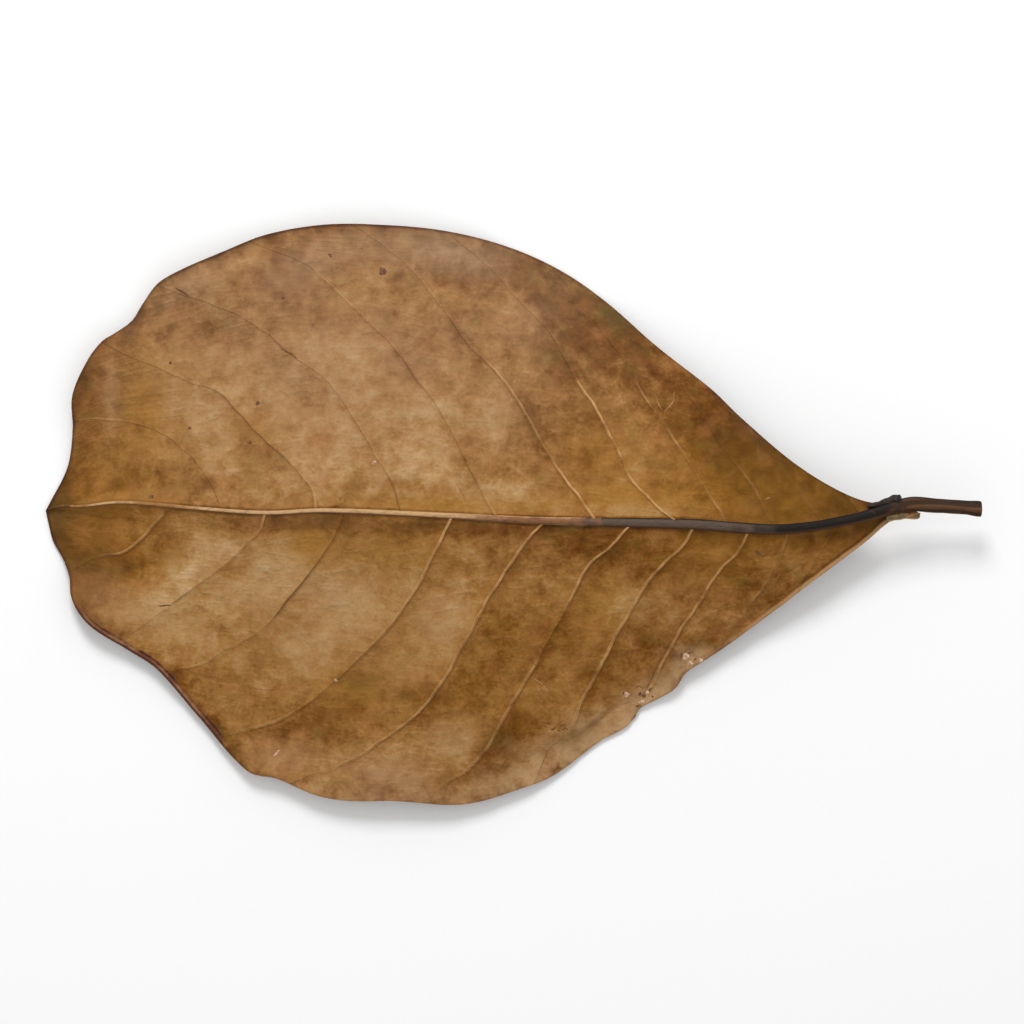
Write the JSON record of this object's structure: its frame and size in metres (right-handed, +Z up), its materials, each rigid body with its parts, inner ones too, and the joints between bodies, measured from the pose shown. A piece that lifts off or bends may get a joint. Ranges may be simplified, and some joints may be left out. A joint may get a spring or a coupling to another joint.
{
  "type": "dried indian almond leaf",
  "caption": "Large dried leaf with a wavy margin, raised midrib and side veins and a short stalk, lying with its ribbed side up.",
  "frame": {"origin": "on the surface that the leaf lies on, below the middle of its box", "axes": "+X along the leaf from the tip towards the stalk, +Y across the leaf, +Z up, out of the ribbed side"},
  "size_m": [0.2014, 0.125, 0.0163],
  "materials": {
    "dry_leaf": "matte"
  },
  "bodies": {
    "root": {"leaf": "dry_leaf"}
  },
  "joints": []
}
